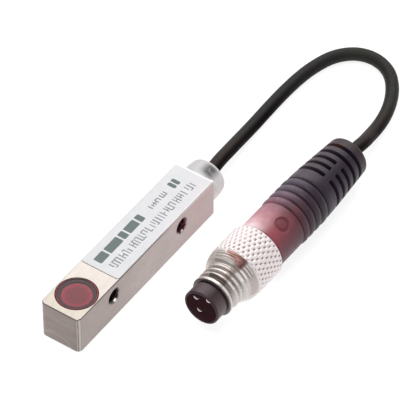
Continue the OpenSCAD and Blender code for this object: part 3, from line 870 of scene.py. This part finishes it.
# the ramp holds a painted glint: a bright crimson line near the disc's edge
base = p.ramp(p.range(disc, 0, 2.9), [(0.0, (0.207, 0.053, 0.062)), (0.6, (0.215, 0.048, 0.06)), (0.78, (0.29, 0.052, 0.072)), (0.86, (0.42, 0.045, 0.075)),
                                      (0.895, (0.36, 0.045, 0.07)), (0.93, (0.12, 0.06, 0.065)), (1.0, (0.1, 0.066, 0.068))])
outer = p.mix(p.math("MAXIMUM", flank, near), (0.065, 0.03, 0.034), (0.25, 0.028, 0.05))
base = p.mix(p.range(radial, 0.87, 0.89), base, outer)
base = p.mix(p.range(radial, 0.985, 0.995), base, (0.06, 0.015, 0.02))
base = p.mix(p.range(p.noise(0.7, 3, 0.5), 0.4, 0.7, 0, 0.2), base, (0.18, 0.045, 0.06))
p.colour(base)
p.rough(p.range(p.noise(1.5, 2, 0.5), 0.3, 0.7, 0.26, 0.36))
p.bump(p.noise(1.2, 2, 0.5), 0.01, 0.1)
put(window, p)

p = Paint("ring_grey").set(Roughness=0.5, Specular_IOR_Level=0.3)
p.colour(p.ramp(p.noise(3.0, 3, 0.5), [(0.3, (0.068, 0.05, 0.05)), (0.7, (0.085, 0.064, 0.065))]))
# painted light: the ring's inner wall glows a dark grey that lifts its shade
n = p.t.nodes.new("ShaderNodeVectorMath")
n.operation = "LENGTH"
p.link(p.point(move=(0, 17, 0), scale=(1, 1, 0)), n.inputs[0])
p.b.inputs["Emission Color"].default_value = (0.075, 0.056, 0.057, 1)
p.link(p.range(n.outputs["Value"], 2.93, 2.87), p.b.inputs["Emission Strength"])
p.rough(p.range(p.noise(4, 2, 0.5), 0.3, 0.7, 0.45, 0.6))
p.bump(p.noise(14, 2, 0.5), 0.006, 0.4)
put(ring, p)

# label foil
p = Paint("foil_white").set(Roughness=0.42, Specular_IOR_Level=0.4)
base = p.ramp(p.noise(0.5, 3, 0.5), [(0.3, (0.725, 0.73, 0.75)), (0.7, (0.77, 0.77, 0.785))])
base = p.mix(p.times(p.range(p.axis("Y"), -4, 16), p.range(p.axis("X"), -1, 4), 0.5), base, (0.8, 0.745, 0.765))
# painted highlight: white lines along the foil's right and rear edges, fading out towards the front
foil_painted_highlight = p.math("MAXIMUM", p.math("MULTIPLY", p.range(p.axis("X"), 3.6, 3.7), 0.6), p.range(p.axis("Y"), 17.42, 17.52))
foil_painted_highlight = p.math("MULTIPLY", foil_painted_highlight, p.range(p.axis("Y"), -2, 12))
base = p.mix(foil_painted_highlight, base, (0.98, 0.98, 0.98))
p.colour(base)
p.rough(p.range(p.noise(0.9, 3, 0.6), 0.3, 0.7, 0.36, 0.5))
p.bump(p.noise(1.2, 4, 0.6), 0.012, 0.35)
put(foil, p)

# colour of the painted shadow strip at the foil's front edge
p = Paint("foil_edge_painted_shadow").set(Roughness=0.55)
p.colour(p.ramp(p.noise(2.5, 3, 0.6), [(0.3, (0.26, 0.225, 0.2)), (0.7, (0.36, 0.32, 0.29))]))
p.rough(p.range(p.noise(3, 2, 0.5), 0.3, 0.7, 0.5, 0.65))
p.bump(p.noise(8, 2, 0.5), 0.004, 0.4)
put(rim, p)

p = Paint("ink_heavy").set(Roughness=0.55)
p.colour(p.ramp(p.noise(6, 3, 0.6), [(0.3, (0.105, 0.145, 0.14)), (0.75, (0.16, 0.2, 0.195))]))
p.rough(p.range(p.noise(5, 2, 0.5), 0.3, 0.7, 0.5, 0.65))
p.bump(p.noise(10, 2, 0.5), 0.004, 0.4)
put(heavy_print, p)

p = Paint("ink_light").set(Roughness=0.55)
p.colour(p.ramp(p.noise(6, 3, 0.6), [(0.3, (0.2, 0.2, 0.22)), (0.75, (0.3, 0.3, 0.33))]))
p.rough(p.range(p.noise(5, 2, 0.5), 0.3, 0.7, 0.5, 0.65))
p.bump(p.noise(10, 2, 0.5), 0.004, 0.4)
put(fine_print, p)

# frosted boot, with the dark jacket faintly seen through it, and a faint painted glow from its emission that lifts its
# shaded side
p = Paint("frosted_clear").set(Transmission_Weight=0.3, Emission_Color=(1, 0.94, 0.935, 1), Emission_Strength=0.05, IOR=1.4, Specular_IOR_Level=0.4)
base = p.ramp(p.noise(0.8, 3, 0.5), [(0.3, (0.9, 0.9, 0.91)), (0.7, (0.97, 0.965, 0.965))])
base = p.mix(p.range(p.axis("X"), 1.2, -1.5, 0, 1, True), base, (0.66, 0.65, 0.655))
low = p.times(p.range(p.axis("Z"), 5.5, 2.5), p.range(p.axis("X"), 0, 2.5), 0.8)
base = p.mix(low, base, (0.92, 0.8, 0.8))
across = p.math("ABSOLUTE", p.along((0.876, 0, -0.483), (-0.35, 0, 3.8)))
seen = p.times(p.range(across, 0.3, 2.2, 1, 0, True), p.range(p.axis("Y"), 18.2, 19.8, 0, 1, True), p.range(p.axis("Y"), 21.9, 21.2, 0, 1),
               p.range(p.axis("Z"), 4.5, 6), p.range(p.noise(0.9, 2, 0.5, move=(4, 6, 2)), 0.25, 0.5, 0.7, 1, True))
base = p.mix(p.math("MULTIPLY", seen, 0.95), base, (0.04, 0.04, 0.04))
p.colour(base)
p.rough(p.range(p.noise(2, 2, 0.5), 0.3, 0.7, 0.38, 0.5))
p.bump(p.noise(6, 3, 0.6), 0.012, 0.35)
put(boot, p)

# cable jacket
p = Paint("jacket_black").set(Roughness=0.55, Specular_IOR_Level=0.15)
base = p.ramp(p.noise(0.12, 3, 0.5), [(0.3, (0.022, 0.019, 0.018)), (0.5, (0.026, 0.026, 0.022)), (0.7, (0.029, 0.033, 0.023))])
straight = p.math("MAXIMUM", p.range(p.axis("Y"), 36, 30), p.times(p.range(p.axis("Y"), 58, 50), p.range(p.axis("X"), 10, 14)))
base = p.mix(p.math("MULTIPLY", straight, 0.85), base, (0.034, 0.0225, 0.0195))
# painted shade: the cable's lower right side goes near black, mostly on its straight runs, with less sheen there
facing = p.t.nodes.new("ShaderNodeVectorMath")
facing.operation = "DOT_PRODUCT"
p.link(p.t.nodes.new("ShaderNodeNewGeometry").outputs["Normal"], facing.inputs[0])
facing.inputs[1].default_value = (0.876, -0.05, -0.483)
near_boot = p.times(p.range(p.axis("Y"), 62, 42), p.range(p.axis("X"), 9, 4))
base = p.mix(p.times(p.range(p.axis("Y"), 66, 58), p.range(p.axis("Y"), 32, 40), p.range(p.axis("X"), 8, 4), 0.85), base, (0.023, 0.021, 0.023))
lee = p.times(p.range(facing.outputs["Value"], -0.45, 0.5, 0, 1, True), p.range(p.math("MAXIMUM", straight, near_boot), 0, 1, 0.06, 0.97))
p.colour(p.mix(lee, base, (0.005, 0.002, 0.002)))
p.link(p.range(lee, 0, 1, 0.15, 0.03), p.b.inputs["Specular IOR Level"])
p.rough(p.range(p.noise(1.5, 3, 0.6), 0.3, 0.7, 0.44, 0.56))
p.bump(p.noise(9, 3, 0.6), 0.01, 0.3)
put(cable, p)

# moulded grip: violet grey and red towards its front, with painted highlights on its upper left that turn pale near the
# front, and on its lower right painted shade at the front and a painted reflected edge further back
p = Paint("grip_violet_grey").set(Specular_IOR_Level=0.33)
u = p.along(lengthwise, nose_at)
xl, zl = p.along(crosswise, nose_at), p.along((0, 0, 1), nose_at)
lit = p.math("ADD", p.math("MULTIPLY", xl, -0.876 / 4.75), p.math("MULTIPLY", zl, 0.483 / 4.75))
dark = p.ramp(p.noise(0.35, 3, 0.5), [(0.3, (0.022, 0.012, 0.025)), (0.7, (0.032, 0.02, 0.036))])
# painted highlight on the upper left side, and below it a painted reflection that lightens the lower right edge
dark = p.mix(p.range(lit, 0.1, 0.9, 0, 0.75, True), dark, p.mix(p.range(u, 25, 33), (0.185, 0.155, 0.21), (0.1, 0.078, 0.094)))
dark = p.mix(p.range(lit, -0.2, -0.9, 0, 0.4, True), dark, (0.06, 0.048, 0.06))
wander = p.math("ADD", u, p.range(p.noise(0.5, 2, 0.5), 0.3, 0.7, -0.9, 0.9))
reds = p.ramp(p.range(wander, 16.5, 32), [
    (0.0, (0.35, 0.08, 0.1)), (0.3, (0.25, 0.06, 0.078)), (0.45, (0.16, 0.048, 0.062)), (0.62, (0.1, 0.042, 0.055)), (1.0, (0.05, 0.032, 0.044))])
pale = p.ramp(p.range(wander, 16.5, 32), [
    (0.0, (0.96, 0.82, 0.85)), (0.12, (0.84, 0.56, 0.6)), (0.24, (0.6, 0.29, 0.33)), (0.38, (0.42, 0.18, 0.22)), (0.58, (0.24, 0.13, 0.17)),
    (0.78, (0.16, 0.12, 0.165)), (1.0, (0.09, 0.07, 0.095))])
deep = p.ramp(p.range(wander, 16.5, 32), [
    (0.0, (0.15, 0.044, 0.06)), (0.3, (0.11, 0.036, 0.05)), (0.6, (0.06, 0.026, 0.038)), (1.0, (0.045, 0.028, 0.038))])
# painted highlight: the red turns pale on the upper left side; painted shade: it turns deep red on the lower right side
glow = p.mix(p.range(lit, 0.1, 0.85, 0, 1, True), reds, pale)
glow = p.mix(p.range(lit, -0.05, -0.8, 0, 1, True), glow, deep)
base = p.mix(p.range(wander, 22, 32.5, 1, 0, True), dark, glow)
base = p.mix(p.times(p.range(u, 42.55, 42.75), 0.7), base, (0.044, 0.028, 0.028))
# painted highlight: a red-brown streak on the upper left side of the last slot
base = p.mix(p.times(p.range(u, 41.5, 41.75), p.range(u, 42.85, 42.6), p.range(lit, 0.3, 0.5), p.range(lit, 0.85, 0.7), 0.7), base, (0.12, 0.036, 0.026))
mark = p.math("POWER", p.math("ADD", p.math("POWER", p.math("ADD", u, -20.75), 2),
                              p.math("POWER", p.math("ADD", p.math("MULTIPLY", xl, -math.sin(key)), p.math("MULTIPLY", zl, math.cos(key))), 2)), 0.5)
on_key = p.range(p.math("ADD", p.math("MULTIPLY", xl, math.cos(key)), p.math("MULTIPLY", zl, math.sin(key))), 0, 1)
base = p.mix(p.times(p.range(mark, 1.5, 1.3), on_key, 0.55), base, (0.15, 0.03, 0.042))
p.colour(base)
p.rough(p.range(p.noise(1.2, 3, 0.6), 0.3, 0.7, 0.38, 0.5))
p.bump(p.noise(11, 3, 0.6), 0.012, 0.45)
put(grip, p)

# bright nickel of the screw, hazy and a little rosy, with painted highlights on the thread crests, painted shade in its
# valleys, knurl pits, gap and lip face, and a painted red reflection in front of the knurl
p = Paint("bright_nickel")
u = p.along(lengthwise, nose_at)
xl, zl = p.along(crosswise, nose_at), p.along((0, 0, 1), nose_at)
r = p.math("POWER", p.math("ADD", p.math("POWER", xl, 2), p.math("POWER", zl, 2)), 0.5)


def towards(q, degrees):
    """The cosine of the angle between a point's side of the axis and a given side."""
    t = math.radians(degrees)
    return q.math("DIVIDE", q.math("ADD", q.math("MULTIPLY", xl, math.cos(t)), q.math("MULTIPLY", zl, math.sin(t))), r)


p.link(p.range(u, 9.4, 10.2, 0.42, 0.1), p.b.inputs["Metallic"])
tone = p.ramp(p.noise(0.4, 3, 0.5), [(0.3, (0.83, 0.77, 0.73)), (0.7, (0.9, 0.85, 0.82))])
# painted shade: the thread and shoulder are toned darker over the top and on the right side
tone = p.mix(p.times(p.range(u, 9.9, 9.3), p.range(towards(p, 80), 0.3, 0.75)), tone, (0.66, 0.6, 0.565))
tone = p.mix(p.times(p.range(u, 9.9, 9.3), p.range(towards(p, 0), 0.76, 0.9, 0, 0.7)), tone, (0.62, 0.585, 0.565))
tone = p.mix(p.times(p.range(u, 9.6, 10.6), 0.8), tone, (0.96, 0.87, 0.875))
# painted shade in the knurl's pits, strongest on the upper right and weaker elsewhere
knurled = p.times(p.range(u, 9.95, 10.2), p.range(r, 5.235, 5.165))
knurled = p.times(knurled, p.range(p.times(p.range(towards(p, 151), 0.35, 0.65), p.range(u, 11.5, 13)), 0, 1, 0.9, 0.4))
knurled = p.math("MULTIPLY", knurled, p.range(towards(p, 61), 0.25, 0.6, 0.3, 1))
tone = p.mix(knurled, tone, (0.3, 0.16, 0.16))
# painted shade in the thread valleys, strongest along the top
valley = p.times(p.range(u, 8.9, 8.0), p.range(r, 3.97, 3.72), p.range(p.noise(0.35, 2, 0.5, move=(3, 3, 3)), 0.3, 0.7, 0.5, 1.0))
tone = p.mix(p.times(valley, p.range(towards(p, 80), 0.2, 0.85, 0.3, 1)), tone, (0.3, 0.24, 0.21))
# painted shade in the valleys of the fine rings behind the thread, over the top
beat = p.math("ABSOLUTE", p.math("ADD", p.math("FRACT", p.math("DIVIDE", p.math("ADD", u, -6.26), 0.58)), -0.5))
rings = p.times(p.range(beat, 0.37, 0.27), p.range(u, 7.5, 7.7), p.range(u, 9.5, 9.3), p.range(towards(p, 80), 0.6, 0.72, 0, 1, True))
tone = p.mix(p.math("MULTIPLY", rings, 0.75), tone, (0.36, 0.3, 0.265))
crest = p.math("MAXIMUM", p.range(u, 7.6, 7.45), p.range(beat, 0.3, 0.4))
# painted highlights: near white on the thread crests on the upper right side
crest_painted_highlight = p.times(p.range(r, 3.85, 3.97), p.range(towards(p, 47), 0.968, 0.985, 0, 1, True), p.range(u, 9.4, 9.2), crest)
tone = p.mix(crest_painted_highlight, tone, (1.0, 0.94, 0.92))
# painted highlight: lighter lines on the crests along the top
line = p.times(p.range(r, 3.88, 3.97), p.range(towards(p, 98), 0.88, 0.94, 0, 1, True), p.range(u, 9.4, 9.2), crest)
tone = p.mix(p.math("MULTIPLY", line, 0.8), tone, (0.86, 0.8, 0.76))
# painted shade: a brown line along the top of the thread where its lit side turns away
brown = p.times(p.range(towards(p, 70), 0.984, 0.996, 0, 1, True), p.range(u, 4.7, 5.2), p.range(u, 9.9, 9.7))
tone = p.mix(p.math("MULTIPLY", brown, 0.6), tone, (0.26, 0.19, 0.165))
# painted red reflection at the top just in front of the knurl, its right end darker as painted shade
shift = p.range(p.noise(0.9, 3, 0.6), 0.3, 0.7, -0.25, 0.25)
low = p.range(towards(p, 167), 0.5, -0.3, 8.9, 7.5)
painted_reflection_area = p.times(p.range(towards(p, 82), 0.885, 0.935, 0, 1, True), p.range(p.math("SUBTRACT", p.math("ADD", u, shift), low), 0, 0.7, 0, 1, True), p.range(u, 9.95, 9.8))
red_reflection_and_shade = p.mix(p.range(towards(p, 167), -0.2, 0.4), (0.115, 0.036, 0.034), (0.34, 0.135, 0.12))
tone = p.mix(p.math("MULTIPLY", painted_reflection_area, 0.92), tone, p.mix(p.range(p.noise(1.1, 3, 0.6, move=(1, 7, 1)), 0.35, 0.65, 0, 0.5), red_reflection_and_shade, (0.3, 0.12, 0.1)))
# painted shade: a grey tone on the right side of the fine rings
side = p.times(p.range(towards(p, 9), 0.89, 0.96, 0, 1, True), p.range(u, 7.9, 8.2), p.range(u, 9.8, 9.4))
tone = p.mix(p.math("MULTIPLY", side, 0.75), tone, (0.46, 0.38, 0.365))
# painted shade in the gap behind the lip, over the top
gap = p.times(p.range(towards(p, 86), 0.84, 0.93, 0, 1, True), p.range(u, 3.95, 4.1), p.range(u, 4.95, 4.75))
tone = p.mix(p.math("MULTIPLY", gap, 0.85), tone, (0.09, 0.06, 0.055))
# painted shade on the lip's front face
tone = p.mix(p.times(p.range(u, 3.3, 3.05), 0.85), tone, (0.06, 0.035, 0.035))
p.colour(tone)
p.rough(p.range(p.noise(1.6, 3, 0.6), 0.3, 0.7, 0.24, 0.36))
p.bump(p.noise(5, 3, 0.6), 0.005, 0.15)
put(screw, p)

# nose of the contact carrier, with painted highlights and shade on its outside and a painted glow inside its cup
p = Paint("carrier_dark").set(Specular_IOR_Level=0.32, Emission_Color=(0.024, 0.0095, 0.0118, 1))
u = p.along(lengthwise, nose_at)
xl, zl = p.along(crosswise, nose_at), p.along((0, 0, 1), nose_at)
r = p.math("POWER", p.math("ADD", p.math("POWER", xl, 2), p.math("POWER", zl, 2)), 0.5)
# painted highlights along the nose's upper left and lower right edges, painted shade between them
round_side = p.math("ADD", p.math("MULTIPLY", xl, -math.sin(key) / 3.45), p.math("MULTIPLY", zl, math.cos(key) / 3.45))
nose_painted_shading = p.ramp(p.range(round_side, -1, 1), [(0.0, (0.15, 0.11, 0.118)), (0.32, (0.09, 0.058, 0.066)), (0.5, (0.045, 0.022, 0.025)), (0.72, (0.088, 0.056, 0.068)), (1.0, (0.12, 0.086, 0.102))])
nose_painted_shading = p.mix(p.range(p.noise(0.6, 3, 0.5), 0.3, 0.7, 0, 0.3), nose_painted_shading, (0.045, 0.03, 0.032))
face = p.math("MAXIMUM", p.range(r, 3.3, 3.1), p.range(u, 0.35, 0.1))
base = p.mix(face, nose_painted_shading, (0.034, 0.012, 0.016))
# painted shade and painted fill light in the cup: its base goes near black and its inside glows an even dark maroon
cup = p.times(p.range(r, 3.15, 3.08), p.range(u, 0.1, 0.3))
base = p.mix(cup, base, (0.004, 0.002, 0.002))
p.link(cup, p.b.inputs["Emission Strength"])
p.link(p.range(cup, 0, 1, 0.32, 0.05), p.b.inputs["Specular IOR Level"])
p.colour(base)
p.rough(p.range(p.noise(1.5, 3, 0.6), 0.3, 0.7, 0.36, 0.48))
p.bump(p.noise(11, 3, 0.6), 0.01, 0.35)
put(carrier, p)

# the pins glow: a painted highlight crescent on their tips and the cup's painted maroon glow on their sides, over a
# near black base
p = Paint("pin_plating").set(Metallic=1.0, Emission_Strength=1.0)
below = p.t.nodes.new("ShaderNodeVectorMath")
below.operation = "DOT_PRODUCT"
p.link(p.t.nodes.new("ShaderNodeNewGeometry").outputs["Normal"], below.inputs[0])
below.inputs[1].default_value = (-0.35, 0, -0.937)
tip = p.range(p.along(lengthwise, nose_at), 1.3, 1.2)
gleam = p.math("MULTIPLY", p.range(below.outputs["Value"], -0.02, 0.1), tip)
p.colour(p.mix(tip, (0.004, 0.002, 0.002), p.ramp(p.noise(1.2, 3, 0.5), [(0.3, (0.012, 0.006, 0.007)), (0.7, (0.02, 0.01, 0.011))])))
p.link(p.mix(gleam, (0.024, 0.0095, 0.0118), (0.95, 0.89, 0.84)), p.b.inputs["Emission Color"])
p.rough(p.range(p.noise(2, 3, 0.6), 0.3, 0.7, 0.14, 0.24))
p.bump(p.noise(9, 2, 0.5), 0.004, 0.3)
put(pins, p)


def plain(name, dark, light, rough, scale=3.0, bump=0.008, **extra):
    q = Paint(name).set(Roughness=rough, **extra)
    q.colour(q.ramp(q.noise(scale, 3, 0.55), [(0.3, dark), (0.7, light)]))
    q.rough(q.range(q.noise(scale * 1.7, 2, 0.5, move=(4, 4, 4)), 0.3, 0.7, rough * 0.85, min(1, rough * 1.15)))
    q.bump(q.noise(scale * 4, 2, 0.5), bump, 0.35)
    return q


inner = {
    "condenser_lens": plain("lens_clear", (0.9, 0.93, 0.95), (0.97, 0.98, 1.0), 0.06, 1.0, 0.001, Transmission_Weight=0.95, IOR=1.49),
    "lens_holder": plain("tube_black", (0.012, 0.012, 0.013), (0.025, 0.025, 0.027), 0.6),
    "photodiode": plain("diode_dark", (0.02, 0.016, 0.04), (0.04, 0.03, 0.07), 0.15, 2.0, 0.002),
    "circuit_board": plain("solder_mask", (0.02, 0.12, 0.05), (0.035, 0.17, 0.075), 0.35, 2.5, 0.01),
    "amplifier_chip": plain("epoxy_black_a", (0.018, 0.018, 0.02), (0.035, 0.035, 0.038), 0.55),
    "regulator_chip": plain("epoxy_black_b", (0.018, 0.018, 0.02), (0.035, 0.035, 0.038), 0.55),
    "output_transistor": plain("epoxy_black_c", (0.018, 0.018, 0.02), (0.035, 0.035, 0.038), 0.55),
    "protection_diodes": plain("epoxy_black_d", (0.02, 0.02, 0.024), (0.04, 0.04, 0.045), 0.5),
    "chip_resistors": plain("resistor_black", (0.015, 0.015, 0.018), (0.03, 0.03, 0.034), 0.4, 6.0),
    "chip_capacitors": plain("ceramic_tan", (0.38, 0.24, 0.14), (0.5, 0.34, 0.21), 0.5, 6.0),
    "status_led": plain("led_clear", (0.85, 0.5, 0.08), (0.95, 0.62, 0.12), 0.2, 3.0, 0.002, Transmission_Weight=0.4),
    "wire_brown": plain("core_brown_a", (0.11, 0.045, 0.02), (0.16, 0.07, 0.035), 0.45),
    "wire_blue": plain("core_blue_a", (0.02, 0.07, 0.35), (0.035, 0.11, 0.45), 0.45),
    "wire_black": plain("core_black_a", (0.012, 0.012, 0.012), (0.025, 0.025, 0.025), 0.45),
    "cable_clamp": plain("tinned_steel", (0.55, 0.55, 0.53), (0.7, 0.7, 0.68), 0.3, 4.0, 0.004, Metallic=1.0),
    "inner_body": plain("sleeve_pale", (0.6, 0.59, 0.55), (0.7, 0.69, 0.66), 0.45),
    "plug_wire_brown": plain("core_brown_b", (0.11, 0.045, 0.02), (0.16, 0.07, 0.035), 0.45),
    "plug_wire_blue": plain("core_blue_b", (0.02, 0.07, 0.35), (0.035, 0.11, 0.45), 0.45),
    "plug_wire_black": plain("core_black_b", (0.012, 0.012, 0.012), (0.025, 0.025, 0.025), 0.45),
}
for name, paint in inner.items():
    put(nodes[name], paint)

# ---------------------------------------------------------------- floor and light

floor_mesh = bpy.data.meshes.new("floor")
floor_mesh.from_pydata([(-3, -3, -0.00004), (3, -3, -0.00004), (3, 3, -0.00004), (-3, 3, -0.00004)], [], [(0, 1, 2, 3)])
floor = link("floor", floor_mesh)
fm = bpy.data.materials.new("pale_floor")
fm.use_nodes = True
fb = fm.node_tree.nodes["Principled BSDF"]
fb.inputs["Base Color"].default_value = (0.28, 0.28, 0.28, 1)
fb.inputs["Roughness"].default_value = 0.9
fb.inputs["Specular IOR Level"].default_value = 0.0
fb.inputs["Emission Color"].default_value = (1, 1, 1, 1)
fb.inputs["Emission Strength"].default_value = 0.85
floor_mesh.materials.append(fm)

world = bpy.data.worlds.new("studio")
scene.world = world
world.use_nodes = True
bg = world.node_tree.nodes["Background"]
bg.inputs["Color"].default_value = (0.96, 0.97, 1.0, 1)
bg.inputs["Strength"].default_value = 0.42


def softbox(name, direction, distance, size_x, size_y, radiance, colour=(1, 1, 1)):
    data = bpy.data.lights.new(name, "AREA")
    data.shape, data.size, data.size_y = "RECTANGLE", size_x, size_y
    data.energy, data.color = radiance * math.pi * size_x * size_y, colour
    o = bpy.data.objects.new(name, data)
    scene.collection.objects.link(o)
    d = Vector(direction).normalized()
    target = Vector((0.008, 0.015, 0.004))
    o.location = target + d * distance
    o.rotation_mode = "QUATERNION"
    o.rotation_quaternion = d.to_track_quat("Z", "Y")
    o.visible_camera = False
    return o


softbox("key", (-0.36, 0.6, 0.72), 0.8, 1.0, 0.62, 2.25, (1.0, 0.985, 0.955))
softbox("overhead", (0.1, -0.25, 1.0), 0.9, 0.34, 0.34, 6.5)
